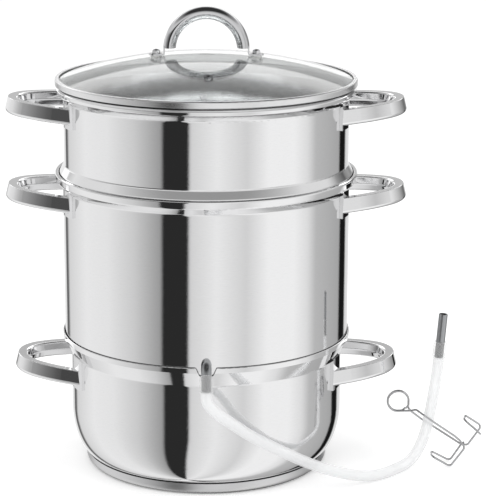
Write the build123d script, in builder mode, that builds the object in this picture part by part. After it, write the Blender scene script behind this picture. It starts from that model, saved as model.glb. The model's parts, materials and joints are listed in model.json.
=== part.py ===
# Steam juicer: water pan, juice kettle with its steam cone, perforated fruit basket and glass lid.
# Each vessel lifts off the one below. Millimetres, +Z up, origin at the centre of the base.
from build123d import *
import math
import os

os.makedirs("parts", exist_ok=True)

# Sizes that several pieces share
sheet = 0.8
nest_gap = 0.3
shaft_gap = 0.05
overrun = 6.0
edge_round = 0.3

# Water pan: its wall's radius is the size that every other radius follows
pan_radius = 125.0
pan_belly_run = 21.2
pan_belly_height = 46.0
pan_wall_height = 51.6
pan_crease_round = 3.0
pan_collar_flare = 6.7
pan_collar_height = 14.2
pan_bead_step = 0.7
pan_bead_thickness = 1.4
pan_bead_height = 4.8
pan_bead_round = 0.5
notch_top_width = 18.4
notch_bottom_width = 11.2
notch_depth = 8.6
notch_top_round = 2.0
notch_bottom_round = 3.2

# Base capsule and heat core
capsule_inset = 12.8
capsule_height = 10.7
capsule_bend = 6.2
core_height = 7.2
core_inset = 9.2

# Juice kettle: it sits in the pan's collar and holds the basket in its flared rim
kettle_step = 5.5
kettle_skirt_rise = 1.9
kettle_skirt_round = 6.0
kettle_height = 152.5
kettle_flare = 6.1
kettle_flare_height = 6.5
kettle_flare_round = 3.0
kettle_lip_step = 1.0
kettle_lip_height = 5.1
kettle_lip_edge = 1.8
kettle_lip_round = 1.2
kettle_socket_step = 3.5
kettle_socket_depth = 7.1

# Steam cone in the kettle
cone_base_radius = 62.0
cone_neck_radius = 27.0
cone_neck_height = 12.0
cone_clearance = 16.0
cone_base_round = 10.0
cone_neck_round = 8.0

# Drain spout
spout_radius = 4.5
spout_wall = 0.8
spout_rise = 2.4
spout_inner_reach = 1.6
spout_root = 4.0
spout_bend_radius = 9.0
spout_turn = 60.0
spout_leg = 16.0

# Fruit basket: its lower part hangs in the kettle, its shoulder sits in the kettle's rim
basket_step = 1.3
basket_insert_step = 4.0
basket_insert_depth = 38.3
basket_floor_round = 8.0
basket_shoulder_gap = 0.6
basket_shoulder_height = 7.6
basket_shoulder_round = 3.0
basket_corner_round = 1.0
basket_wall_height = 59.3
basket_lip_flare = 6.3
basket_lip_rise = 6.3
basket_lip_height = 2.8
basket_lip_crown = 1.6
basket_lip_slope = 1.5
basket_lip_bore_step = 1.4
basket_lip_bore_depth = 4.0
basket_lip_round = 1.0
floor_hole_radius = 2.6
floor_hole_insets = (54.5, 37.5, 20.5)
floor_hole_counts = (18, 24, 30)
wall_hole_radius = 2.2
wall_hole_heights = (15.0, 27.0)
wall_hole_count = 40

# Side handles and their feet
handle_reach = 49.6
handle_width = 11.0
handle_height = 14.0
handle_lean = 2.4
handle_wall = 1.0
handle_nose_radius = 42.0
handle_nose_angle = 52.0
handle_arm_radius = 100.0
handle_arm_angle = 18.0
handle_tilt = 4.0
handle_ridge_round = 0.5
handle_low_round = 3.2
handle_inner_round = 3.0
handle_top_round = 2.2
pan_handle_drop = 4.6
kettle_handle_rise = 1.5
basket_handle_rise = 0.7
foot_width = 20.0
foot_standoff = 3.0
foot_rise = 11.6
foot_drop = 18.4
foot_round = 2.5

# Lid glass and the rim that holds it
glass_overhang = 3.8
glass_edge_height = 3.6
glass_crown = 22.0
glass_thickness = 4.0
glass_seat_rise = 2.4
rim_thickness = 3.4
rim_slot_depth = 5.4
rim_slot_height = 1.9
rim_top_rise = 1.6
rim_top_round = 1.2
rim_flange_overlap = 0.4
rim_skirt_gap = 1.3
rim_skirt_depth = 7.0

# Lid handle, its screws, cap nuts and seals
arch_radius = 38.9
arch_centre_rise = 4.0
arch_depth = 11.6
arch_breadth = 15.0
arch_wall = 1.0
arch_end_rise = 1.6
tongue_width = 9.0
tongue_thickness = 1.5
tongue_inset = 0.3
tongue_top_rise = 3.5
tongue_bend = 0.8
tab_drop = 1.1
tab_corner_round = 4.0
screw_step = 6.1
screw_edge = 6.5
screw_radius = 2.0
screw_head_radius = 4.2
screw_head_height = 2.4
screw_head_round = 0.8
screw_rise = 4.5
screw_tip_gap = 0.2
seal_radius = 5.0
seal_drop = 8.4
nut_flats = 7.0
nut_hex_height = 2.8
nut_dome_height = 1.5

# Steam vent in the glass
vent_x = 1.8
vent_y = -81.0
vent_bore_radius = 1.8
vent_tube_radius = 2.8
vent_flange_radius = 4.2
vent_flange_height = 0.8

# Hose: its middle goes through shares of the kettle's radius along X and Y, and through
# shares of its own start's height above a hose that lies on the table
hose_radius = 5.0
hose_bore_radius = 3.5
hose_sleeve_radius = 6.0
spout_sleeve = 14.0
nozzle_sleeve = 15.0
sleeve_shoulder = 1.5
hose_lead = 9.05
hose_shares = [
    (0.0651, -1.2299, 0.8491),
    (0.1762, -1.2261, 0.7526),
    (0.2835, -1.1341, 0.6175),
    (0.4598, -0.9962, 0.4438),
    (0.659, -0.8812, 0.2702),
    (0.8812, -0.7739, 0.1206),
    (1.1264, -0.636, 0.0125),
    (1.272, -0.5211, 0.0019),
    (1.4483, -0.3218, 0.0068),
    (1.5402, -0.2567, 0.1796),
    (1.5824, -0.2529, 0.4305),
    (1.623, -0.2529, 0.7827),
    (1.6337, -0.2529, 0.9573),
]
arc_share = 0.45

# Nozzle in the hose's free end
nozzle_radius = 4.05
nozzle_wall = 0.85
nozzle_length = 41.3
nozzle_edge_round = 0.3

# Spring clamp: two halves of one wire, which turn on each other at the ring
wire_radius = 0.9
ring_radius = 9.6
ring_layer = 1.05
ring_corners = 7
clamp_reach = 80.0
clamp_side_step = 29.6
clamp_rise = 12.4
clamp_bend = 3.5
front_arm_shares = [
    (0.143, -0.016, -0.114),
    (0.205, -0.030, -0.095),
    (0.290, -0.079, -0.145),
    (0.420, -0.079, -0.238),
    (0.660, -0.036, -0.414),
    (0.722, -0.029, -0.470),
    (0.786, -0.029, -0.560),
    (0.610, -0.100, -0.763),
    (0.392, -0.090, -0.638),
    (0.405, 0.075, -0.638),
    (0.628, 0.100, -0.763),
    (0.742, 0.065, -0.566),
    (0.782, 0.060, -0.522),
]
rear_arm_shares = [
    (0.120, 0.018, -0.090),
    (0.166, 0.040, -0.146),
    (0.283, 0.079, -0.246),
    (0.445, 0.079, -0.350),
    (0.735, 0.032, -0.530),
    (0.818, 0.025, -0.548),
    (0.990, 0.100, -0.338),
    (0.790, 0.088, -0.204),
    (0.758, -0.070, -0.204),
    (0.905, -0.100, -0.325),
    (0.952, -0.100, -0.372),
]

# Radii that follow from the pan's
capsule_radius = pan_radius - capsule_inset
core_radius = capsule_radius - core_inset
pan_floor_radius = pan_radius - pan_belly_run
pan_collar_radius = pan_radius + pan_collar_flare
pan_bead_radius = pan_collar_radius + pan_bead_step
pan_bead_bore_radius = pan_bead_radius - pan_bead_thickness
kettle_radius = pan_radius + kettle_step
kettle_flare_radius = kettle_radius + kettle_flare
kettle_lip_radius = kettle_flare_radius + kettle_lip_step
kettle_socket_radius = kettle_radius + kettle_socket_step
basket_radius = kettle_radius - basket_step
basket_insert_radius = kettle_radius - basket_insert_step
basket_shoulder_radius = kettle_socket_radius - basket_shoulder_gap
basket_lip_radius = basket_radius + basket_lip_flare
basket_lip_flat_radius = basket_lip_radius - basket_lip_slope
basket_lip_bore_radius = basket_radius + basket_lip_bore_step
glass_radius = basket_radius + glass_overhang
rim_radius = glass_radius + rim_thickness
rim_seat_radius = rim_radius - rim_slot_depth
rim_flange_radius = glass_radius - rim_flange_overlap
rim_skirt_radius = basket_radius - rim_skirt_gap

# Levels, stacked from the table up
pan_floor_z = sheet + core_height
pan_belly_top_z = pan_floor_z + pan_belly_height
pan_crease_z = pan_belly_top_z + pan_wall_height
pan_collar_z = pan_crease_z + pan_collar_height
pan_top_z = pan_collar_z + pan_bead_height
spout_z = pan_top_z + spout_rise
kettle_skirt_z = pan_crease_z + kettle_skirt_rise
kettle_flare_z = kettle_skirt_z + kettle_height
kettle_flare_top_z = kettle_flare_z + kettle_flare_height
kettle_lip_z = kettle_flare_top_z + kettle_lip_height
kettle_top_z = kettle_lip_z + kettle_lip_edge
kettle_ledge_z = kettle_top_z - kettle_socket_depth
basket_floor_z = kettle_ledge_z - basket_insert_depth
cone_top_z = basket_floor_z - cone_clearance
cone_neck_z = cone_top_z - cone_neck_height
basket_shoulder_end_z = kettle_top_z + basket_shoulder_height
basket_flare_z = basket_shoulder_end_z + basket_wall_height
basket_lip_low_z = basket_flare_z + basket_lip_rise
basket_lip_high_z = basket_lip_low_z + basket_lip_height
basket_top_z = basket_lip_high_z + basket_lip_crown
basket_lip_bore_z = basket_top_z - basket_lip_bore_depth
rim_low_z = basket_top_z + rim_slot_height
rim_skirt_z = basket_top_z - rim_skirt_depth
glass_seat_z = basket_top_z + glass_seat_rise
glass_edge_z = glass_seat_z + glass_edge_height
glass_apex_z = glass_edge_z + glass_crown
rim_top_z = glass_edge_z + rim_top_rise
tab_z = glass_apex_z - tab_drop
seal_low_z = glass_apex_z - seal_drop
screw_top_z = tab_z + screw_rise
nut_bore_top_z = screw_top_z + screw_tip_gap
arch_centre_z = glass_apex_z + arch_centre_rise
arch_end_z = arch_centre_z + arch_end_rise
tongue_top_z = arch_centre_z + tongue_top_rise
screw_x = arch_radius + screw_step
tab_end = screw_x + screw_edge

# Slopes, and what follows from them
collar_slope = math.atan2(pan_collar_flare, pan_collar_height)
collar_inner_crease_z = pan_crease_z + sheet * math.tan(collar_slope / 2)
collar_inner_top_z = collar_inner_crease_z + (
    pan_bead_bore_radius - pan_radius + sheet
) / math.tan(collar_slope)
skirt_gap = nest_gap / math.cos(collar_slope)
skirt_bottom_radius = (
    pan_radius
    - sheet
    - skirt_gap
    + (kettle_skirt_z - collar_inner_crease_z) * math.tan(collar_slope)
)
skirt_thickness = sheet / math.cos(collar_slope)
skirt_top_z = kettle_skirt_z + (kettle_radius - skirt_bottom_radius) / math.tan(collar_slope)
skirt_inner_top_z = kettle_skirt_z + (
    kettle_radius - sheet - skirt_bottom_radius + skirt_thickness
) / math.tan(collar_slope)
cone_floor_z = skirt_inner_top_z + kettle_skirt_round * math.tan(collar_slope / 2)
dome_radius = (glass_radius**2 + (glass_apex_z - glass_edge_z) ** 2) / (
    2 * (glass_apex_z - glass_edge_z)
)
dome_centre_z = glass_apex_z - dome_radius

def outline(corners):
    """The face inside (radius, height, rounding) corners, drawn in the plane of X and Z."""
    with BuildSketch(Plane.XZ) as section:
        with BuildLine():
            FilletPolyline(
                *[(corner[0], corner[1]) for corner in corners],
                radius=[corner[2] for corner in corners],
                close=True,
            )
        make_face()
    return section.sketch


def write(builder, name):
    """Label a finished piece and write its file."""
    builder.part.label = name
    export_step(builder.part, os.path.join("parts", name + ".step"))


def arc_radii(points, largest):
    """The rounding of each corner of a route, from its shorter run and its turn."""
    radii = []
    for before, corner, after, limit in zip(points, points[1:], points[2:], largest):
        into = Vector(*corner) - Vector(*before)
        out = Vector(*after) - Vector(*corner)
        half_turn = math.radians(into.get_angle(out)) / 2
        shorter = min(into.length, out.length)
        radii.append(min(limit, arc_share * shorter / math.tan(half_turn)))
    return radii


# Base
with BuildPart() as base_capsule:
    revolve(
        outline(
            [
                (0, 0, 0),
                (capsule_radius, 0, capsule_bend),
                (capsule_radius, capsule_height, edge_round),
                (capsule_radius - sheet, capsule_height, edge_round),
                (capsule_radius - sheet, sheet, capsule_bend - sheet),
                (0, sheet, 0),
            ]
        ),
        axis=Axis.Z,
    )
write(base_capsule, "base_capsule")

with BuildPart() as base_core:
    with BuildSketch(Plane.XY.offset(sheet)):
        Circle(core_radius)
    extrude(amount=core_height)
write(base_core, "base_core")

# Water pan, with the notch in its collar's front
with BuildPart() as water_pan:
    with BuildSketch(Plane.XZ):
        with BuildLine():
            Line((0, pan_floor_z), (pan_floor_radius, pan_floor_z))
            EllipticalCenterArc(
                (pan_floor_radius, pan_belly_top_z),
                pan_radius - pan_floor_radius,
                pan_belly_height,
                start_angle=270,
                arc_size=90,
            )
            FilletPolyline(
                (pan_radius, pan_belly_top_z),
                (pan_radius, pan_crease_z),
                (pan_collar_radius, pan_collar_z),
                (pan_bead_radius, pan_collar_z),
                (pan_bead_radius, pan_top_z),
                (pan_bead_bore_radius, pan_top_z),
                (pan_bead_bore_radius, collar_inner_top_z),
                (pan_radius - sheet, collar_inner_crease_z),
                (pan_radius - sheet, pan_belly_top_z),
                radius=[
                    pan_crease_round,
                    0,
                    0,
                    pan_bead_round,
                    pan_bead_round,
                    pan_crease_round,
                    pan_crease_round,
                ],
            )
            EllipticalCenterArc(
                (pan_floor_radius, pan_belly_top_z),
                pan_radius - sheet - pan_floor_radius,
                pan_belly_height - sheet,
                start_angle=270,
                arc_size=90,
            )
            Line((pan_floor_radius, pan_floor_z + sheet), (0, pan_floor_z + sheet))
            Line((0, pan_floor_z + sheet), (0, pan_floor_z))
        make_face()
    revolve(axis=Axis.Z)
    extrude(
        outline(
            [
                (-notch_top_width / 2 - overrun, pan_top_z + overrun, 0),
                (-notch_top_width / 2 - overrun, pan_top_z, 0),
                (-notch_top_width / 2, pan_top_z, notch_top_round),
                (-notch_bottom_width / 2, pan_top_z - notch_depth, notch_bottom_round),
                (notch_bottom_width / 2, pan_top_z - notch_depth, notch_bottom_round),
                (notch_top_width / 2, pan_top_z, notch_top_round),
                (notch_top_width / 2 + overrun, pan_top_z, 0),
                (notch_top_width / 2 + overrun, pan_top_z + overrun, 0),
            ]
        ),
        amount=pan_bead_radius + overrun,
        mode=Mode.SUBTRACT,
    )
write(water_pan, "water_pan")

# Juice kettle, with the hole for its spout
kettle_outer = [
    (skirt_bottom_radius, kettle_skirt_z, 0),
    (kettle_radius, skirt_top_z, kettle_skirt_round),
    (kettle_radius, kettle_flare_z, kettle_flare_round),
    (kettle_flare_radius, kettle_flare_top_z, kettle_flare_round),
    (kettle_lip_radius, kettle_lip_z, 0),
    (kettle_lip_radius, kettle_top_z, kettle_lip_round),
]
with BuildPart() as juice_kettle:
    revolve(
        outline(
            kettle_outer
            + [
                (kettle_socket_radius, kettle_top_z, kettle_lip_round),
                (kettle_socket_radius, kettle_ledge_z, 0),
                (kettle_radius - sheet, kettle_ledge_z, edge_round),
                (kettle_radius - sheet, skirt_inner_top_z, kettle_skirt_round),
                (skirt_bottom_radius - skirt_thickness, kettle_skirt_z, 0),
            ]
        ),
        axis=Axis.Z,
    )
    with BuildSketch(Plane.XZ):
        with Locations((0, spout_z)):
            Circle(spout_radius + shaft_gap)
    extrude(amount=kettle_radius + overrun, mode=Mode.SUBTRACT)
write(juice_kettle, "juice_kettle")

# Steam cone: the kettle's floor, raised to an open chimney in the middle
cone_run = math.atan2(cone_base_radius - cone_neck_radius, cone_neck_z - cone_floor_z)
cone_floor_corner = sheet * math.tan(math.pi / 4 - cone_run / 2)
cone_neck_corner = sheet * math.tan(cone_run / 2)
with BuildPart() as steam_cone:
    revolve(
        outline(
            [
                (kettle_radius - sheet, cone_floor_z, 0),
                (kettle_radius - sheet, cone_floor_z + sheet, 0),
                (cone_base_radius + cone_floor_corner, cone_floor_z + sheet, cone_base_round),
                (cone_neck_radius, cone_neck_z + cone_neck_corner, cone_neck_round),
                (cone_neck_radius, cone_top_z, edge_round),
                (cone_neck_radius - sheet, cone_top_z, edge_round),
                (cone_neck_radius - sheet, cone_neck_z, cone_neck_round),
                (cone_base_radius, cone_floor_z, cone_base_round),
            ]
        ),
        axis=Axis.Z,
    )
write(steam_cone, "steam_cone")

# Drain spout: a bent tube through the kettle's front wall
spout_angle = math.radians(spout_turn)
spout_direction = (0, -math.cos(spout_angle), -math.sin(spout_angle))
spout_tangent = spout_bend_radius * math.tan(spout_angle / 2)
spout_start = (0, -kettle_radius + sheet + spout_inner_reach, spout_z)
spout_corner = (0, -kettle_radius - spout_root - spout_tangent, spout_z)
spout_end = tuple(
    place + (spout_tangent + spout_leg) * step
    for place, step in zip(spout_corner, spout_direction)
)
with BuildPart() as drain_spout:
    with BuildLine() as spout_route:
        FilletPolyline(spout_start, spout_corner, spout_end, radius=[spout_bend_radius])
    with BuildSketch(Plane(spout_start, z_dir=(0, -1, 0))):
        Circle(spout_radius)
        Circle(spout_radius - spout_wall, mode=Mode.SUBTRACT)
    sweep(path=spout_route.line)
write(drain_spout, "drain_spout")

# Fruit basket, with its rolled lip, its shoulder and its holes
basket_outer = [
    (basket_insert_radius, basket_floor_z, basket_floor_round),
    (basket_insert_radius, kettle_ledge_z, 0),
    (basket_shoulder_radius, kettle_ledge_z, basket_corner_round),
    (basket_shoulder_radius, kettle_top_z, basket_shoulder_round),
    (basket_radius, basket_shoulder_end_z, basket_shoulder_round),
    (basket_radius, basket_flare_z, basket_shoulder_round),
    (basket_lip_radius, basket_lip_low_z, basket_lip_round),
    (basket_lip_radius, basket_lip_high_z, basket_lip_round),
]
with BuildPart() as fruit_basket:
    revolve(
        outline(
            [(0, basket_floor_z, 0)]
            + basket_outer
            + [
                (basket_lip_flat_radius, basket_top_z, edge_round),
                (basket_lip_bore_radius, basket_top_z, basket_lip_round),
                (basket_radius - sheet, basket_lip_bore_z, basket_shoulder_round),
                (basket_radius - sheet, basket_shoulder_end_z, basket_shoulder_round),
                (basket_shoulder_radius - sheet, kettle_top_z, basket_shoulder_round),
                (basket_shoulder_radius - sheet, kettle_ledge_z + sheet, edge_round),
                (basket_insert_radius - sheet, kettle_ledge_z + sheet, edge_round),
                (basket_insert_radius - sheet, basket_floor_z + sheet, basket_floor_round - sheet),
                (0, basket_floor_z + sheet, 0),
            ]
        ),
        axis=Axis.Z,
    )
    with BuildSketch(Plane.XY.offset(basket_floor_z - overrun)):
        for inset, count in zip(floor_hole_insets, floor_hole_counts):
            with PolarLocations(basket_insert_radius - inset, count):
                Circle(floor_hole_radius)
    extrude(amount=2 * overrun, mode=Mode.SUBTRACT)
    for row, height in enumerate(wall_hole_heights):
        for place in range(wall_hole_count):
            bearing = 360 * (place + row / 2) / wall_hole_count
            wall_plane = Plane.XZ.rotated((0, 0, bearing)).offset(basket_insert_radius)
            with BuildSketch(wall_plane):
                with Locations((0, basket_floor_z + height)):
                    Circle(wall_hole_radius)
    extrude(amount=overrun, both=True, mode=Mode.SUBTRACT)
write(fruit_basket, "fruit_basket")

# Side handles: hollow loops with a round nose, welded to a pair of feet on each side
nose_turn = math.radians(handle_nose_angle)
arm_turn = math.radians(handle_nose_angle + handle_arm_angle)
loop_radius = handle_nose_radius - handle_width / 2
arm_radius = handle_arm_radius - handle_width / 2
arm_centre_x = -loop_radius - (arm_radius - loop_radius) * math.cos(nose_turn)
arm_centre_y = -(arm_radius - loop_radius) * math.sin(nose_turn)
arm_start = Vector(
    arm_centre_x + arm_radius * math.cos(arm_turn), arm_centre_y + arm_radius * math.sin(arm_turn)
)
arm_direction = Vector(-math.sin(arm_turn), math.cos(arm_turn))
handle_section = [
    (handle_width / 2, 0, handle_ridge_round),
    (handle_width / 2 + handle_lean, -handle_height, handle_low_round),
    (handle_lean - handle_width / 2, -handle_height, handle_inner_round),
    (-handle_width / 2, -handle_height / 2, handle_inner_round),
    (handle_lean - handle_width / 2, 0, handle_top_round),
]


def arm_end(wall_radius):
    """Where the middle of the +Y arm meets its foot, and the length of the arm's straight run."""
    foot_face = wall_radius + foot_standoff
    start = Vector(wall_radius + handle_reach - handle_width / 2, 0) + arm_start
    across = start.dot(arm_direction)
    run = -across - math.sqrt(across**2 - start.dot(start) + foot_face**2)
    return start + arm_direction * run, run


def side_handle(wall_radius, ridge_z):
    """One hollow loop on the +X side, cut off where it meets the faces of its feet."""
    tilt = math.radians(handle_tilt)
    loop_plane = Plane(
        (wall_radius + handle_reach - handle_width / 2, 0, ridge_z),
        x_dir=(math.cos(tilt), 0, math.sin(tilt)),
        z_dir=(-math.sin(tilt), 0, math.cos(tilt)),
    )
    _, run = arm_end(wall_radius)
    inside = arm_start + arm_direction * (run + handle_width)
    with BuildPart() as handle:
        with BuildLine(loop_plane) as route:
            Line((inside.X, inside.Y), (arm_start.X, arm_start.Y))
            CenterArc(
                (arm_centre_x, arm_centre_y),
                arm_radius,
                handle_nose_angle + handle_arm_angle,
                -handle_arm_angle,
            )
            CenterArc((-loop_radius, 0), loop_radius, handle_nose_angle, -2 * handle_nose_angle)
            CenterArc(
                (arm_centre_x, -arm_centre_y), arm_radius, -handle_nose_angle, -handle_arm_angle
            )
            Line((arm_start.X, -arm_start.Y), (inside.X, -inside.Y))
        inward = route.line % 0
        with BuildSketch(
            Plane(route.line @ 0, x_dir=loop_plane.z_dir.cross(inward), z_dir=inward)
        ):
            with BuildLine():
                FilletPolyline(
                    *[(corner[0], corner[1]) for corner in handle_section],
                    radius=[corner[2] for corner in handle_section],
                    close=True,
                )
            make_face()
            offset(amount=-handle_wall, mode=Mode.SUBTRACT)
        sweep(path=route.line)
        with Locations((0, 0, ridge_z)):
            Cylinder(
                wall_radius + foot_standoff,
                2 * (foot_rise + foot_drop + overrun),
                mode=Mode.SUBTRACT,
            )
    return handle.part


def handle_foot(wall_radius, ridge_z, wall_corners):
    """One foot at the azimuth of the +Y arm, shaped to the outside of its vessel."""
    foot_face = wall_radius + foot_standoff
    end, _ = arm_end(wall_radius)
    azimuth = math.degrees(math.atan2(end.Y, end.X))
    fall = foot_face + handle_reach - foot_standoff - handle_width / 2 - end.X
    end_z = ridge_z - fall * math.tan(math.radians(handle_tilt))
    low = end_z - foot_drop
    high = end_z + foot_rise
    turn = math.degrees(foot_width / foot_face)
    envelope = [(0, wall_corners[0][1], 0)] + wall_corners + [(0, wall_corners[-1][1], 0)]
    with BuildPart() as foot:
        with BuildSketch(Plane.XZ.rotated((0, 0, azimuth - turn / 2))):
            with BuildLine():
                Polyline(
                    (wall_radius - foot_standoff, low),
                    (foot_face, low),
                    (foot_face, high),
                    (wall_radius - foot_standoff, high),
                    close=True,
                )
            make_face()
        revolve(axis=Axis.Z, revolution_arc=turn)
        fillet(foot.faces().sort_by(Axis.X)[-1].edges(), radius=foot_round)
        revolve(outline(envelope), axis=Axis.Z, mode=Mode.SUBTRACT)
    return foot.part


pan_wall = [
    (pan_radius, pan_belly_top_z, 0),
    (pan_radius, pan_crease_z, pan_crease_round),
    (pan_collar_radius, pan_collar_z, 0),
]
vessels = [
    ("pan", pan_radius, pan_crease_z - pan_handle_drop, pan_wall),
    ("kettle", kettle_radius, kettle_flare_z + kettle_handle_rise, kettle_outer[1:]),
    ("basket", basket_radius, basket_flare_z + basket_handle_rise, basket_outer[3:]),
]
for vessel, wall_radius, ridge_z, wall_corners in vessels:
    loop = side_handle(wall_radius, ridge_z)
    rear_foot = handle_foot(wall_radius, ridge_z, wall_corners)
    front_foot = rear_foot.mirror(Plane.XZ)
    for side, turned in (("right", 0), ("left", 180)):
        with BuildPart() as handle_copy:
            add(loop.rotate(Axis.Z, turned))
        write(handle_copy, vessel + "_handle_" + side)
    for name, foot_solid, turned in (
        ("right_rear", rear_foot, 0),
        ("right_front", front_foot, 0),
        ("left_rear", front_foot, 180),
        ("left_front", rear_foot, 180),
    ):
        with BuildPart() as foot_copy:
            add(foot_solid.rotate(Axis.Z, turned))
        write(foot_copy, vessel + "_foot_" + name)

# Lid glass, with holes for the screws and the vent
vent_lean = math.asin(math.hypot(vent_x, vent_y) / dome_radius)
vent_up = Vector(vent_x, vent_y, dome_radius * math.cos(vent_lean)).normalized()
vent_plane = Plane(Vector(0, 0, dome_centre_z) + vent_up * dome_radius, z_dir=vent_up)
seat_radius = math.sqrt(
    (dome_radius - glass_thickness) ** 2 - (glass_seat_z - dome_centre_z) ** 2
)
rim_angle = math.degrees(math.asin(glass_radius / dome_radius))
seat_angle = math.degrees(math.asin(seat_radius / (dome_radius - glass_thickness)))
with BuildPart() as lid_glass:
    with BuildSketch(Plane.XZ):
        with BuildLine():
            CenterArc((0, dome_centre_z), dome_radius, 90 - rim_angle, rim_angle)
            Line((glass_radius, glass_edge_z), (glass_radius, glass_seat_z))
            Line((glass_radius, glass_seat_z), (seat_radius, glass_seat_z))
            CenterArc(
                (0, dome_centre_z), dome_radius - glass_thickness, 90 - seat_angle, seat_angle
            )
            Line((0, glass_apex_z - glass_thickness), (0, glass_apex_z))
        make_face()
    revolve(axis=Axis.Z)
    with BuildSketch(Plane.XY.offset(seal_low_z)):
        with Locations((screw_x, 0), (-screw_x, 0)):
            Circle(screw_radius + shaft_gap)
    extrude(amount=glass_apex_z - seal_low_z + overrun, mode=Mode.SUBTRACT)
    with BuildSketch(vent_plane):
        Circle(vent_tube_radius + shaft_gap)
    extrude(amount=glass_thickness + overrun, both=True, mode=Mode.SUBTRACT)
write(lid_glass, "lid_glass")

# Lid rim: a band that holds the glass, with a skirt that centres it in the basket
with BuildPart() as lid_rim:
    revolve(
        outline(
            [
                (rim_seat_radius, basket_top_z, 0),
                (rim_seat_radius, rim_low_z, 0),
                (rim_radius, rim_low_z, edge_round),
                (rim_radius, rim_top_z, rim_top_round),
                (rim_flange_radius, rim_top_z, edge_round),
                (rim_flange_radius, glass_edge_z + nest_gap, edge_round),
                (glass_radius + nest_gap, glass_edge_z + nest_gap, 0),
                (glass_radius + nest_gap, glass_seat_z, 0),
                (rim_skirt_radius - sheet, glass_seat_z, edge_round),
                (rim_skirt_radius - sheet, rim_skirt_z, edge_round),
                (rim_skirt_radius, rim_skirt_z, edge_round),
                (rim_skirt_radius, basket_top_z, 0),
            ]
        ),
        axis=Axis.Z,
    )
write(lid_rim, "lid_rim")

# Steam vent: an eyelet flanged over both faces of the glass
with BuildPart() as vent_eyelet:
    for inner in (False, True):
        face_offset = -glass_thickness - shaft_gap if inner else shaft_gap
        flange = -vent_flange_height if inner else vent_flange_height
        with BuildSketch(vent_plane.offset(face_offset)):
            Circle(vent_flange_radius)
        extrude(amount=flange)
    with BuildSketch(vent_plane.offset(shaft_gap)):
        Circle(vent_tube_radius)
    extrude(amount=-glass_thickness - 2 * shaft_gap)
    with BuildSketch(vent_plane):
        Circle(vent_bore_radius)
    extrude(amount=glass_thickness + overrun, both=True, mode=Mode.SUBTRACT)
write(vent_eyelet, "vent_eyelet")

# Lid handle: an oval tube arch, whose outer wall runs on as a tongue and a screwed tab at each end
with BuildPart() as lid_handle:
    with BuildSketch(Plane.XY.offset(arch_centre_z)):
        with Locations((arch_radius - arch_depth / 2, 0)):
            Ellipse(arch_depth / 2, arch_breadth / 2)
            Ellipse(arch_depth / 2 - arch_wall, arch_breadth / 2 - arch_wall, mode=Mode.SUBTRACT)
    revolve(axis=Axis((0, 0, arch_centre_z), (0, -1, 0)), revolution_arc=180)
    with BuildSketch(Plane.XY.offset(arch_end_z)):
        Rectangle(2 * (arch_radius + overrun), arch_breadth + overrun)
    extrude(amount=-overrun, mode=Mode.SUBTRACT)
    tongue_face = arch_radius - tongue_inset
    for side in (1, -1):
        with BuildSketch(Plane.XZ):
            with BuildLine():
                FilletPolyline(
                    (side * (tongue_face - tongue_thickness), tongue_top_z),
                    (side * tongue_face, tongue_top_z),
                    (side * tongue_face, tab_z + tongue_thickness),
                    (side * tab_end, tab_z + tongue_thickness),
                    (side * tab_end, tab_z),
                    (side * (tongue_face - tongue_thickness), tab_z),
                    radius=[0, 0, tongue_bend, 0, 0, tongue_bend + tongue_thickness],
                    close=True,
                )
            make_face()
        extrude(amount=tongue_width / 2, both=True)
    upright_edges = lid_handle.edges().filter_by(Axis.Z)
    tab_corners = upright_edges.sort_by(lambda edge: abs(edge.center().X))[-4:]
    fillet(tab_corners, radius=tab_corner_round)
    with BuildSketch(Plane.XY.offset(tab_z)):
        with Locations((screw_x, 0), (-screw_x, 0)):
            Circle(screw_radius + shaft_gap)
    extrude(amount=tongue_thickness, mode=Mode.SUBTRACT)
write(lid_handle, "lid_handle")

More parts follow.
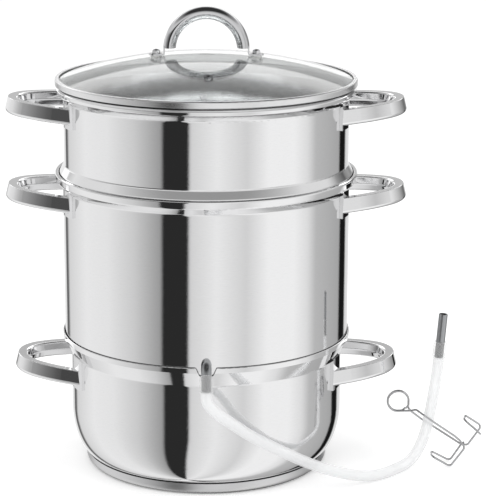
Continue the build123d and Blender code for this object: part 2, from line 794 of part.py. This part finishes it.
# Screws from below, cap nuts above, and a seal on each face of the glass
nut_low_z = tab_z + tongue_thickness
nut_corner = nut_flats / 2 / math.cos(math.pi / 6)
nut_dome_radius = (nut_corner**2 + nut_dome_height**2) / (2 * nut_dome_height)
for name, x in (("right", screw_x), ("left", -screw_x)):
    with BuildPart() as lid_screw:
        with BuildSketch(Plane.XY.offset(seal_low_z - screw_head_height)):
            with Locations((x, 0)):
                Circle(screw_head_radius)
        extrude(amount=screw_head_height)
        fillet(lid_screw.faces().sort_by(Axis.Z)[0].edges(), radius=screw_head_round)
        with BuildSketch(Plane.XY.offset(seal_low_z)):
            with Locations((x, 0)):
                Circle(screw_radius)
        extrude(amount=screw_top_z - seal_low_z)
    write(lid_screw, "lid_screw_" + name)

    with BuildPart() as lid_nut:
        with BuildSketch(Plane.XY.offset(nut_low_z)):
            with Locations((x, 0)):
                RegularPolygon(nut_flats / 2, 6, major_radius=False, rotation=30)
        extrude(amount=nut_hex_height + nut_dome_height)
        with Locations((x, 0, nut_low_z + nut_hex_height + nut_dome_height - nut_dome_radius)):
            Sphere(nut_dome_radius, mode=Mode.INTERSECT)
        with BuildSketch(Plane.XY.offset(nut_low_z)):
            with Locations((x, 0)):
                Circle(screw_radius + shaft_gap)
        extrude(amount=nut_bore_top_z - nut_low_z, mode=Mode.SUBTRACT)
    write(lid_nut, "lid_cap_nut_" + name)

    with BuildPart() as upper_seal:
        with BuildSketch(Plane.XY.offset(tab_z)):
            with Locations((x, 0)):
                Circle(seal_radius)
                Circle(screw_radius + shaft_gap, mode=Mode.SUBTRACT)
        extrude(amount=-glass_thickness)
        with Locations((0, 0, dome_centre_z)):
            Sphere(dome_radius, mode=Mode.SUBTRACT)
    write(upper_seal, "lid_seal_upper_" + name)

    with BuildPart() as lower_seal:
        with BuildSketch(Plane.XY.offset(seal_low_z)):
            with Locations((x, 0)):
                Circle(seal_radius)
                Circle(screw_radius + shaft_gap, mode=Mode.SUBTRACT)
        extrude(amount=glass_thickness)
        with Locations((0, 0, dome_centre_z)):
            Sphere(dome_radius - glass_thickness, mode=Mode.INTERSECT)
    write(lower_seal, "lid_seal_lower_" + name)

# Hose: a tube along its points, widened to a sleeve over the spout and over the nozzle
hose_fall = spout_end[2] - hose_radius
route = [spout_end, tuple(p + hose_lead * d for p, d in zip(spout_end, spout_direction))]
for x_share, y_share, z_share in hose_shares:
    route.append(
        (x_share * kettle_radius, y_share * kettle_radius, hose_radius + z_share * hose_fall)
    )
hose_end = route[-1]
hose_radii = arc_radii(route, [math.inf] * (len(route) - 2))
print("hose bends", [round(radius, 1) for radius in hose_radii])
end_run = (Vector(*hose_end) - Vector(*route[-2])).normalized()
with BuildPart() as juice_hose:
    with BuildLine() as hose_route:
        FilletPolyline(*route, radius=hose_radii)
    with BuildSketch(Plane(spout_end, z_dir=spout_direction)):
        Circle(hose_radius)
    sweep(path=hose_route.line)
    hose_run = sum(edge.length for edge in hose_route.edges())
    section = math.pi * hose_radius**2
    print("hose volume", round(juice_hose.part.volume), "expected", round(section * hose_run))
    for place, away, sleeve in (
        (spout_end, Vector(*spout_direction) * -1, spout_sleeve),
        (hose_end, end_run, nozzle_sleeve),
    ):
        with BuildSketch(Plane(Vector(*place) - away * sleeve_shoulder, z_dir=away)):
            Circle(hose_sleeve_radius)
        extrude(amount=sleeve_shoulder + sleeve)
    with BuildSketch(Plane(spout_end, z_dir=spout_direction)):
        Circle(hose_bore_radius)
    sweep(path=hose_route.line, mode=Mode.SUBTRACT)
    for place, away, sleeve, held_radius in (
        (spout_end, Vector(*spout_direction) * -1, spout_sleeve, spout_radius),
        (hose_end, end_run, nozzle_sleeve, nozzle_radius),
    ):
        with BuildSketch(Plane(place, z_dir=away)):
            Circle(held_radius + shaft_gap)
        extrude(amount=sleeve, mode=Mode.SUBTRACT)
write(juice_hose, "juice_hose")
print("hose length", round(hose_run + spout_sleeve + nozzle_sleeve, 1))

# Nozzle: a short tube pushed into the hose's free end
with BuildPart() as hose_nozzle:
    with BuildSketch(Plane(hose_end, z_dir=end_run)):
        Circle(nozzle_radius)
        Circle(nozzle_radius - nozzle_wall, mode=Mode.SUBTRACT)
    extrude(amount=nozzle_length)
    fillet(hose_nozzle.edges().filter_by(GeomType.CIRCLE), radius=nozzle_edge_round)
write(hose_nozzle, "hose_nozzle")

# Spring clamp: each half is a turn of the ring, an arm beside the hose and a finger loop
corner_radius = ring_radius / math.cos(math.pi / (ring_corners + 1))
gripped_x, clamp_y, gripped_z = route[-3]
clamp_x = gripped_x - clamp_side_step
clamp_z = gripped_z + clamp_rise


def clamp_half(turn_direction, leave_angle, layer, shares):
    """One half of the clamp: most of a ring turn, which leaves the ring at the given angle."""
    step = 360 / (ring_corners + 1)
    places = []
    for corner in range(ring_corners, 0, -1):
        angle = math.radians(leave_angle - turn_direction * step * (corner - 0.5))
        places.append(
            (
                clamp_x + corner_radius * math.cos(angle),
                clamp_y + layer,
                clamp_z + corner_radius * math.sin(angle),
            )
        )
    first = math.radians(leave_angle - turn_direction * step * ring_corners)
    start = (
        clamp_x + ring_radius * math.cos(first),
        clamp_y + layer,
        clamp_z + ring_radius * math.sin(first),
    )
    arm = [
        (clamp_x + x * clamp_reach, clamp_y + y * clamp_reach, clamp_z + z * clamp_reach)
        for x, y, z in shares
    ]
    points = [start] + places + arm
    limits = [ring_radius] * ring_corners + [clamp_bend] * (len(arm) - 1)
    with BuildPart() as half:
        with BuildLine() as wire_route:
            FilletPolyline(*points, radius=arc_radii(points, limits))
        with BuildSketch(Plane(wire_route.line @ 0, z_dir=wire_route.line % 0)):
            Circle(wire_radius)
        sweep(path=wire_route.line)
    return half


write(clamp_half(1, 270, -ring_layer, front_arm_shares), "clamp_front_arm")
write(clamp_half(-1, 0, ring_layer, rear_arm_shares), "clamp_rear_arm")
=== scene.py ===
"""Steam juicer: polished steel vessels, glass lid, milky drain hose. Metres, +Z up."""
import json
import math

import bpy
from mathutils import Matrix, Vector


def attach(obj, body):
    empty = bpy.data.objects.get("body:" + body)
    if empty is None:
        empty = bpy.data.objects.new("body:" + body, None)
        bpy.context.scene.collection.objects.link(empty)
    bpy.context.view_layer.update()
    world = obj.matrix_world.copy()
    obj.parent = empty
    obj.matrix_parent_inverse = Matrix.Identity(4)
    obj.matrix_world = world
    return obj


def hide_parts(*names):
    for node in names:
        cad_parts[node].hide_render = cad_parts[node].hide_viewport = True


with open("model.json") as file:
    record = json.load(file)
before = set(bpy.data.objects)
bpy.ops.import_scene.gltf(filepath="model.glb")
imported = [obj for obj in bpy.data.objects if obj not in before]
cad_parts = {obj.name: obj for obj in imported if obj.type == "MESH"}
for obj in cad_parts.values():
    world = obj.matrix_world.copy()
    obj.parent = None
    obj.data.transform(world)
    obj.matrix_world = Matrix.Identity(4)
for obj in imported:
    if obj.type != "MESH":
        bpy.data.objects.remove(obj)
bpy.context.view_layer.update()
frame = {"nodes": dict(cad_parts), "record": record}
nodes = frame["nodes"]
scene = bpy.context.scene
scene.view_settings.view_transform = "Standard"

# Camera: fitted to the photograph's rims, walls and base
PITCH = math.radians(14.0)
YAW = math.radians(1.085)
ROLL = math.radians(0.273)
PLACE = (0.0001, -1.8, 0.648)
LENS = 146.3
SENSOR_HEIGHT = 36.0
forward = Vector(
    (math.sin(YAW) * math.cos(PITCH), math.cos(YAW) * math.cos(PITCH), -math.sin(PITCH))
)
level = Vector((math.cos(YAW), -math.sin(YAW), 0))
upright = level.cross(forward)
right = level * math.cos(ROLL) + upright * math.sin(ROLL)
up = upright * math.cos(ROLL) - level * math.sin(ROLL)
camera_data = bpy.data.cameras.new("camera")
camera_data.sensor_fit = "VERTICAL"
camera_data.sensor_height = SENSOR_HEIGHT
camera_data.lens = LENS
camera_data.clip_start = 0.05
camera_data.clip_end = 50.0
camera = bpy.data.objects.new("camera", camera_data)
scene.collection.objects.link(camera)
camera.matrix_world = Matrix(
    (
        (right.x, up.x, -forward.x, PLACE[0]),
        (right.y, up.y, -forward.y, PLACE[1]),
        (right.z, up.z, -forward.z, PLACE[2]),
        (0, 0, 0, 1),
    )
)
scene.camera = camera


# Node helpers
MIX_INPUTS = (0, 6, 7)  # factor and two colours, among the sockets for every kind of value
MIX_OUTPUT = 2


class Nodes:
    """A node tree with short calls for the nodes that the materials here are made of."""

    def __init__(self, tree):
        self.tree = tree
        tree.nodes.clear()

    def add(self, kind, **settings):
        node = self.tree.nodes.new(kind)
        for name, value in settings.items():
            setattr(node, name, value)
        return node

    def link(self, output, socket):
        self.tree.links.new(output, socket)

    def feed(self, socket, value):
        """Give a socket a number, a colour or the output of another node."""
        if isinstance(value, (int, float)):
            socket.default_value = value
        elif isinstance(value, tuple):
            socket.default_value = (*value, 1)
        else:
            self.link(value, socket)

    def math(self, operation, first, second, third=None, clamp=False):
        node = self.add("ShaderNodeMath", operation=operation, use_clamp=clamp)
        for socket, value in zip(node.inputs, (first, second, third)):
            if value is not None:
                self.feed(socket, value)
        return node.outputs[0]

    def ramp(self, value, stops):
        """Greys between stops of (place, grey), with the places from 0 to 1."""
        node = self.add("ShaderNodeValToRGB")
        elements = node.color_ramp.elements
        while len(elements) < len(stops):
            elements.new(0.5)
        for element, (place, grey) in zip(elements, stops):
            element.position = place
            element.color = (grey, grey, grey, 1)
        self.link(value, node.inputs[0])
        return node.outputs[0]

    def noise(self, vector, scale, detail=2.0, roughness=0.5, stretch=None):
        if stretch:
            mapping = self.add("ShaderNodeMapping")
            mapping.inputs["Scale"].default_value = stretch
            self.link(vector, mapping.inputs["Vector"])
            vector = mapping.outputs[0]
        node = self.add("ShaderNodeTexNoise")
        node.inputs["Scale"].default_value = scale
        node.inputs["Detail"].default_value = detail
        node.inputs["Roughness"].default_value = roughness
        self.link(vector, node.inputs["Vector"])
        return node.outputs[0]

    def mix(self, factor, first, second):
        """The first colour where the factor is 0, the second where it is 1."""
        node = self.add("ShaderNodeMix", data_type="RGBA")
        for socket, value in zip(MIX_INPUTS, (factor, first, second)):
            self.feed(node.inputs[socket], value)
        return node.outputs[MIX_OUTPUT]

    def blend(self, factor, first, second):
        """The first shader where the factor is 0, the second where it is 1."""
        node = self.add("ShaderNodeMixShader")
        for socket, output in zip(node.inputs, (factor, first, second)):
            self.link(output, socket)
        return node.outputs[0]

    def bump(self, height, distance, normal=None):
        node = self.add("ShaderNodeBump")
        node.inputs["Strength"].default_value = 1.0
        node.inputs["Distance"].default_value = distance
        self.link(height, node.inputs["Height"])
        if normal is not None:
            self.link(normal, node.inputs["Normal"])
        return node.outputs[0]


def new_material(name):
    """An empty material and its node tree."""
    material = bpy.data.materials.new(name)
    material.use_nodes = True
    return material, Nodes(material.node_tree)


# Studio: the room that the polished steel mirrors, and a plain white one for the camera.
# Bearings are in degrees, 0 towards the camera and + to its right. Heights are of unit directions.
TABLE = [  # (bearing, brightness) of what lies below the horizon
    (-180, 0.95), (-160.5, 0.85), (-155.5, 0.12), (-151.5, 0.12), (-146, 0.72), (-113, 0.92),
    (-85, 0.88), (-58.5, 0.68), (-34.5, 0.36), (-32.5, 0.026), (-12.5, 0.026), (-11, 0.72),
    (10.5, 0.92), (33.5, 0.72), (51.5, 0.98), (74.5, 0.98), (88, 0.82), (97.5, 0.54),
    (132, 0.42), (135, 0.01), (147, 0.01), (150.5, 0.72), (180, 0.95),
]
HORIZON = [  # (bearing, brightness) of the walls at eye level
    (-180, 0.95), (-140, 0.90), (-112, 0.80), (-85, 0.46), (-60, 0.20), (-38, 0.04),
    (-16, 0.04), (-13, 0.90), (35, 0.90), (60, 0.60), (85, 0.86), (115, 0.50),
    (140, 0.16), (158, 0.30), (165, 0.90), (180, 0.95),
]
TABLE_EDGE = (-0.15, -0.10)
LAYERS = [(0.24, 0.34, 0.80), (0.50, 0.68, 0.34), (0.72, 0.84, 0.04)]  # (from, to, brightness)
LEAN = -0.15  # how far the room's upright edges lean
SCREEN = [  # (height, strength) of the screen behind the object, where the room's strength is 1
    (0.0, 1.0), (0.04, 1.5), (0.12, 1.5), (0.14, 0.6),
    (0.31, 0.6), (0.34, 2.4), (0.45, 2.4), (0.55, 1.0),
]
SCREEN_BRIGHTEST = 2.4
SCREEN_EDGE = (0.60, 0.80)
FILL_GREY = 0.9
FILL_STRENGTH = 0.85
FLOOR_GREY = 0.86
FLOOR_GLOW = 0.34


def studio():
    """The world: plain white to the camera, the room to mirrors, even grey light to the rest."""
    world = bpy.data.worlds.new("studio")
    scene.world = world
    world.use_nodes = True
    n = Nodes(world.node_tree)
    direction = n.add("ShaderNodeTexCoord").outputs["Generated"]
    axes = n.add("ShaderNodeSeparateXYZ")
    n.link(direction, axes.inputs[0])
    east, north, height = axes.outputs
    leaning = n.math("MULTIPLY_ADD", height, LEAN, east)
    azimuth = n.math("ARCTAN2", leaning, n.math("MULTIPLY", north, -1))
    share = n.math("MULTIPLY_ADD", azimuth, 1 / (2 * math.pi), 0.5)

    def around(walls):
        """Brightness by the bearing."""
        return n.ramp(share, [((angle + 180) / 360, grey) for angle, grey in walls])

    def past(low, high, value=height):
        """0 where the value is below the low limit, 1 where it is above the high one."""
        node = n.add("ShaderNodeMapRange")
        node.inputs["From Min"].default_value = low
        node.inputs["From Max"].default_value = high
        n.link(value, node.inputs["Value"])
        return node.outputs[0]

    table = around(TABLE)
    horizon = around(HORIZON)
    room = n.mix(past(*TABLE_EDGE), table, horizon)
    for low, high, grey in LAYERS:
        room = n.mix(past(low, high), room, (grey, grey, grey))
    path = n.add("ShaderNodeLightPath")
    mirror = n.add("ShaderNodeBackground")
    n.link(room, mirror.inputs["Color"])
    rows = [((rise + 1) / 2, strength / SCREEN_BRIGHTEST) for rise, strength in SCREEN]
    screen = n.ramp(n.math("MULTIPLY_ADD", height, 0.5, 0.5), rows)
    screen = n.math("MULTIPLY_ADD", screen, SCREEN_BRIGHTEST, -1.0)
    behind = past(*SCREEN_EDGE, north)
    n.link(n.math("MULTIPLY_ADD", screen, behind, 1.0), mirror.inputs["Strength"])
    fill = n.add("ShaderNodeBackground")
    fill.inputs["Color"].default_value = (FILL_GREY, FILL_GREY, FILL_GREY, 1)
    fill.inputs["Strength"].default_value = FILL_STRENGTH
    white = n.add("ShaderNodeBackground")
    white.inputs["Color"].default_value = (1, 1, 1, 1)
    seen = n.math("MAXIMUM", path.outputs["Is Camera Ray"], path.outputs["Is Transmission Ray"])
    glossy = n.blend(path.outputs["Is Glossy Ray"], fill.outputs[0], mirror.outputs[0])
    whole = n.blend(seen, glossy, white.outputs[0])
    n.link(whole, n.add("ShaderNodeOutputWorld").inputs[0])


def lamp(name, place, aim, size, power):
    """An area lamp that mirrors don't show."""
    data = bpy.data.lights.new(name, "AREA")
    data.shape = "RECTANGLE"
    data.size, data.size_y = size
    data.energy = power
    obj = bpy.data.objects.new(name, data)
    scene.collection.objects.link(obj)
    obj.location = place
    obj.rotation_euler = (Vector(aim) - Vector(place)).to_track_quat("-Z", "Y").to_euler()
    obj.visible_glossy = False


def floor():
    """White ground that takes the contact shadow; the glow lifts it to the background's white."""
    reach = 6
    corners = [(-reach, -reach, 0), (reach, -reach, 0), (reach, reach, 0), (-reach, reach, 0)]
    mesh = bpy.data.meshes.new("floor")
    mesh.from_pydata(corners, [], [(0, 1, 2, 3)])
    obj = bpy.data.objects.new("floor", mesh)
    scene.collection.objects.link(obj)
    material, n = new_material("floor_white")
    surface = n.add("ShaderNodeBsdfDiffuse")
    surface.inputs["Color"].default_value = (FLOOR_GREY, FLOOR_GREY, FLOOR_GREY, 1)
    glow = n.add("ShaderNodeEmission")
    path = n.add("ShaderNodeLightPath")
    shown = n.math("MULTIPLY", path.outputs["Is Camera Ray"], FLOOR_GLOW)
    n.link(shown, glow.inputs["Strength"])
    both = n.add("ShaderNodeAddShader")
    n.link(surface.outputs[0], both.inputs[0])
    n.link(glow.outputs[0], both.inputs[1])
    n.link(both.outputs[0], n.add("ShaderNodeOutputMaterial").inputs[0])
    mesh.materials.append(material)
    obj.visible_glossy = False


studio()
lamp("key", (-1.2, -1.6, 1.8), (0, 0, 0.15), (1.6, 1.6), 16)
lamp("fill", (1.6, -1.0, 1.2), (0, 0, 0.15), (1.4, 1.4), 7)
lamp("top", (0, 0.3, 2.2), (0, 0, 0.2), (1.8, 1.8), 10)
floor()


# Materials
WIPE_SCALE = 34.0
WIPE_BLUR = 0.02
LINE_BLUR = 0.02
LINE_TONE = 0.10
SCRATCH_DEPTH = 0.00001
WAVE_SCALE = 16.0
PAINTED_SHADE_REACH = 0.012  # how near another surface has to be for the painted shade to darken the steel
PAINTED_SHADE_OPEN = (0.12, 0.48)  # shares of open room around, from the darkest painted shade to bright steel
PAINTED_SHADE_TONE = 0.04
RIPPLE_SCALE = 14.0
RIPPLE_DEPTH = 0.00004
CLOUD_SCALE = 90.0
CLOUD_TONE = 0.96
CLOUD_BLUR = 0.08
EDGE_COVER = 0.5  # how much denser silicone looks edge on
STRETCH_COVER = -0.45  # how much of its cover it loses where it is stretched


def steel(name, colour, rough, grain, brushed, streak, wave):
    """Steel sheet: blurred along its polishing lines, faintly wiped and wavy, and painted darker
    as shade in gaps and hollows.
    """
    material, n = new_material(name)
    place = n.add("ShaderNodeNewGeometry").outputs["Position"]
    lines = n.noise(place, grain, 3.0, 0.6, stretch=streak)
    wipes = n.noise(place, WIPE_SCALE, 3.0, 0.55)
    tone = n.math("MULTIPLY_ADD", n.math("SUBTRACT", lines, 0.5), LINE_TONE, 1.0)
    # Painted shade: ambient occlusion darkens the steel's colour where other surfaces are near,
    # such as the gap under the lid rim.
    shade_occlusion = n.add("ShaderNodeAmbientOcclusion", samples=8)
    shade_occlusion.inputs["Distance"].default_value = PAINTED_SHADE_REACH
    painted_shade = n.add("ShaderNodeMapRange", interpolation_type="SMOOTHSTEP")
    painted_shade.inputs["From Min"].default_value = PAINTED_SHADE_OPEN[0]
    painted_shade.inputs["From Max"].default_value = PAINTED_SHADE_OPEN[1]
    painted_shade.inputs["To Min"].default_value = PAINTED_SHADE_TONE
    n.link(shade_occlusion.outputs["AO"], painted_shade.inputs["Value"])
    tone = n.math("MULTIPLY", tone, painted_shade.outputs[0])
    shader = n.add("ShaderNodeBsdfPrincipled")
    shader.inputs["Metallic"].default_value = 1.0
    tint = n.add("ShaderNodeVectorMath", operation="SCALE")
    tint.inputs[0].default_value = colour
    n.link(tone, tint.inputs["Scale"])
    n.link(tint.outputs[0], shader.inputs["Base Color"])
    blur = n.math("MULTIPLY_ADD", wipes, WIPE_BLUR, rough)
    blur = n.math("MULTIPLY_ADD", lines, brushed * LINE_BLUR, blur)
    n.link(blur, shader.inputs["Roughness"])
    dents = n.bump(n.noise(place, WAVE_SCALE, 1.0), wave)
    scratches = n.bump(lines, brushed * SCRATCH_DEPTH, dents)
    n.link(scratches, shader.inputs["Normal"])
    n.link(shader.outputs[0], n.add("ShaderNodeOutputMaterial").inputs[0])
    return material


def clear_glass():
    """Glass with a faint ripple, which lets light through without a dark shadow."""
    material, n = new_material("tempered_glass")
    shader = n.add("ShaderNodeBsdfPrincipled")
    shader.inputs["Base Color"].default_value = (0.965, 0.985, 0.98, 1)
    shader.inputs["Roughness"].default_value = 0.01
    shader.inputs["IOR"].default_value = 1.5
    shader.inputs["Transmission Weight"].default_value = 1.0
    place = n.add("ShaderNodeNewGeometry").outputs["Position"]
    ripple = n.bump(n.noise(place, RIPPLE_SCALE, 1.0), RIPPLE_DEPTH)
    n.link(ripple, shader.inputs["Normal"])
    through = n.add("ShaderNodeBsdfTransparent")
    through.inputs["Color"].default_value = (0.93, 0.95, 0.94, 1)
    path = n.add("ShaderNodeLightPath")
    mixed = n.blend(path.outputs["Is Shadow Ray"], shader.outputs[0], through.outputs[0])
    n.link(mixed, n.add("ShaderNodeOutputMaterial").inputs[0])
    return material


def silicone(name, colour, cover, rough, glow):
    """Milky silicone: partly see-through, denser seen edge on, clearer where it is stretched, with
    a faint painted glow.
    """
    material, n = new_material(name)
    place = n.add("ShaderNodeNewGeometry").outputs["Position"]
    cloud = n.noise(place, CLOUD_SCALE, 2.0, 0.5)
    shader = n.add("ShaderNodeBsdfPrincipled")
    dull = tuple(channel * CLOUD_TONE for channel in colour)
    n.link(n.mix(cloud, dull, colour), shader.inputs["Base Color"])
    n.link(n.math("MULTIPLY_ADD", cloud, CLOUD_BLUR, rough), shader.inputs["Roughness"])
    shader.inputs["IOR"].default_value = 1.41
    # Painted light: the emission gives the silicone a faint glow of its own, standing in for light
    # carried through its milky wall.
    shader.inputs["Emission Color"].default_value = (*colour, 1)
    shader.inputs["Emission Strength"].default_value = glow
    edge = n.add("ShaderNodeLayerWeight")
    edge.inputs["Blend"].default_value = 0.35
    solid = n.math("MULTIPLY_ADD", edge.outputs["Facing"], EDGE_COVER, cover, clamp=True)
    stretched = n.add("ShaderNodeAttribute", attribute_name="stretched").outputs["Fac"]
    clearer = n.math("MULTIPLY_ADD", stretched, STRETCH_COVER, 1.0)
    n.link(n.math("MULTIPLY", solid, clearer), shader.inputs["Alpha"])
    n.link(shader.outputs[0], n.add("ShaderNodeOutputMaterial").inputs[0])
    return material


polished = steel("polished_steel", (0.86, 0.86, 0.865), 0.015, 220.0, 1.0, (1, 1, 14), 0.00006)
satin = steel("satin_steel", (0.70, 0.70, 0.705), 0.30, 260.0, 2.0, (1, 1, 14), 0.00003)
wire = steel("bright_wire", (0.56, 0.56, 0.57), 0.10, 300.0, 1.0, (1, 1, 1), 0.00002)
nozzle_steel = steel("nozzle_steel", (0.42, 0.43, 0.44), 0.28, 300.0, 2.0, (1, 1, 10), 0.00002)
rolled = steel("rolled_steel", (0.86, 0.86, 0.865), 0.24, 240.0, 1.0, (1, 1, 14), 0.00003)
arch_steel = steel("arch_steel", (0.66, 0.66, 0.67), 0.06, 240.0, 1.0, (1, 1, 6), 0.00004)
dark_steel = steel("dark_steel", (0.16, 0.16, 0.17), 0.25, 240.0, 1.0, (1, 1, 1), 0.00002)
aluminium = steel("core_aluminium", (0.78, 0.78, 0.79), 0.38, 240.0, 2.0, (1, 1, 1), 0.00003)
glass = clear_glass()
# The last number is the painted glow: faint on the hose, none on the seal.
hose_silicone = silicone("hose_silicone", (0.92, 0.925, 0.93), 0.30, 0.3, 0.10)
seal_silicone = silicone("seal_silicone", (0.88, 0.88, 0.87), 0.6, 0.35, 0.0)

FINISHES = {
    "polished_steel": polished,
    "satin_steel": satin,
    "core_aluminium": aluminium,
    "bright_wire": wire,
    "lid_glass": glass,
    "hose_silicone": hose_silicone,
    "seal_silicone": seal_silicone,
}
for part in frame["record"]["subparts"]:
    obj = nodes[part["node"]]
    obj.data.materials.clear()
    obj.data.materials.append(FINISHES[part["material_slot"]])
OWN_FINISHES = {
    "hose_nozzle": nozzle_steel,
    "drain_spout": nozzle_steel,
    "lid_rim": rolled,
    "lid_handle": arch_steel,
    "lid_cap_nut_left": arch_steel,
    "lid_cap_nut_right": arch_steel,
    "vent_eyelet": dark_steel,
}
for name, finish in OWN_FINISHES.items():
    nodes[name].data.materials[0] = finish


# Hose: a smooth tube along its own curve, widened over the spout and over the nozzle
SIDES = 40
OUTER_RADIUS = 0.005
BORE_RADIUS = 0.0035
SPOUT_RADIUS = 0.00455
NOZZLE_RADIUS = 0.0041
SPOUT_HELD = 0.0142  # how far the hose is pushed over each tube
NOZZLE_HELD = 0.0150
SPOUT_NECK = 0.0145  # where the widened ends narrow, to the middle of the slope
NOZZLE_NECK = 0.0155
SLOPE = 0.0024
SWELL = 0.001
LIP = 0.0006  # length of the rounding at both ends
LIP_DROP = 0.0004
HOSE = [
    (0, -0.14329, 0.12077),
    (0, -0.15029, 0.10864),
    (0, -0.1548, 0.1008),
    (0.0085, -0.1605, 0.093),
    (0.023, -0.160, 0.083),
    (0.037, -0.148, 0.069),
    (0.060, -0.130, 0.051),
    (0.086, -0.115, 0.033),
    (0.115, -0.101, 0.0175),
    (0.147, -0.083, 0.0063),
    (0.166, -0.068, 0.0052),
    (0.189, -0.042, 0.0057),
    (0.201, -0.0335, 0.0236),
    (0.2065, -0.033, 0.0496),
    (0.2118, -0.033, 0.0861),
    (0.2132, -0.033, 0.1042),
    (0.21436, -0.033, 0.11916),
]


def along(points):
    """Close points on the smooth NURBS line through a route, from its curve with no bevel."""
    curve = bpy.data.curves.new("route", "CURVE")
    curve.dimensions = "3D"
    curve.resolution_u = 24
    spline = curve.splines.new("NURBS")
    spline.points.add(len(points) - 1)
    for point, place in zip(spline.points, points):
        point.co = (*place, 1)
    spline.order_u = 3
    spline.use_endpoint_u = True
    holder = bpy.data.objects.new("route", curve)
    line = bpy.data.meshes.new_from_object(holder)
    places = [vertex.co.copy() for vertex in line.vertices]
    bpy.data.objects.remove(holder)
    bpy.data.meshes.remove(line)
    return places


def hose():
    """The hose's skin, bore and two end faces, in place of the part's own hose."""
    line = along(HOSE)
    runs = [0.0]
    for before, after in zip(line, line[1:]):
        runs.append(runs[-1] + (after - before).length)
    whole = runs[-1]
    turn = Vector((1, 0, 0))
    rings, outer_radii, inner_radii, stretched = [], [], [], []
    for index, place in enumerate(line):
        ahead = line[min(index + 1, len(line) - 1)] - line[max(index - 1, 0)]
        ahead.normalize()
        turn = (turn - ahead * turn.dot(ahead)).normalized()
        other = ahead.cross(turn)
        from_spout, from_nozzle = runs[index], whole - runs[index]
        beyond = min(from_spout - SPOUT_NECK, from_nozzle - NOZZLE_NECK)
        swell = max(0.0, min(1.0, 0.5 - beyond / SLOPE))
        swell = swell * swell * (3 - 2 * swell)
        rounding = max(0.0, 1 - min(from_spout, from_nozzle) / LIP)
        rings.append((place, turn.copy(), other))
        outer_radii.append(OUTER_RADIUS + SWELL * swell - LIP_DROP * rounding)
        if from_spout < SPOUT_HELD:
            inner_radii.append(SPOUT_RADIUS)
        elif from_nozzle < NOZZLE_HELD:
            inner_radii.append(NOZZLE_RADIUS)
        else:
            inner_radii.append(BORE_RADIUS)
        stretched += [swell] * SIDES
    verts, faces = [], []
    for radii in (outer_radii, inner_radii):
        for (place, across, other), radius in zip(rings, radii):
            for side in range(SIDES):
                angle = 2 * math.pi * side / SIDES
                spoke = across * math.cos(angle) + other * math.sin(angle)
                verts.append(place + spoke * radius)
    count = len(rings)
    inside = count * SIDES
    for index in range(count):
        for side in range(SIDES):
            a = index * SIDES + side
            b = index * SIDES + (side + 1) % SIDES
            c, d = a + inside, b + inside
            if index < count - 1:
                faces.append((a, b, b + SIDES, a + SIDES))
                faces.append((d, c, c + SIDES, d + SIDES))
            if index in (0, count - 1):
                faces.append((a, c, d, b) if index == 0 else (a, b, d, c))
    mesh = bpy.data.meshes.new("hose")
    mesh.from_pydata(verts, [], faces)
    mesh.polygons.foreach_set("use_smooth", [True] * len(mesh.polygons))
    mesh.attributes.new("stretched", "FLOAT", "POINT").data.foreach_set("value", stretched * 2)
    mesh.materials.append(hose_silicone)
    obj = bpy.data.objects.new("hose", mesh)
    scene.collection.objects.link(obj)
    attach(obj, "kettle")
    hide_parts("juice_hose")


hose()
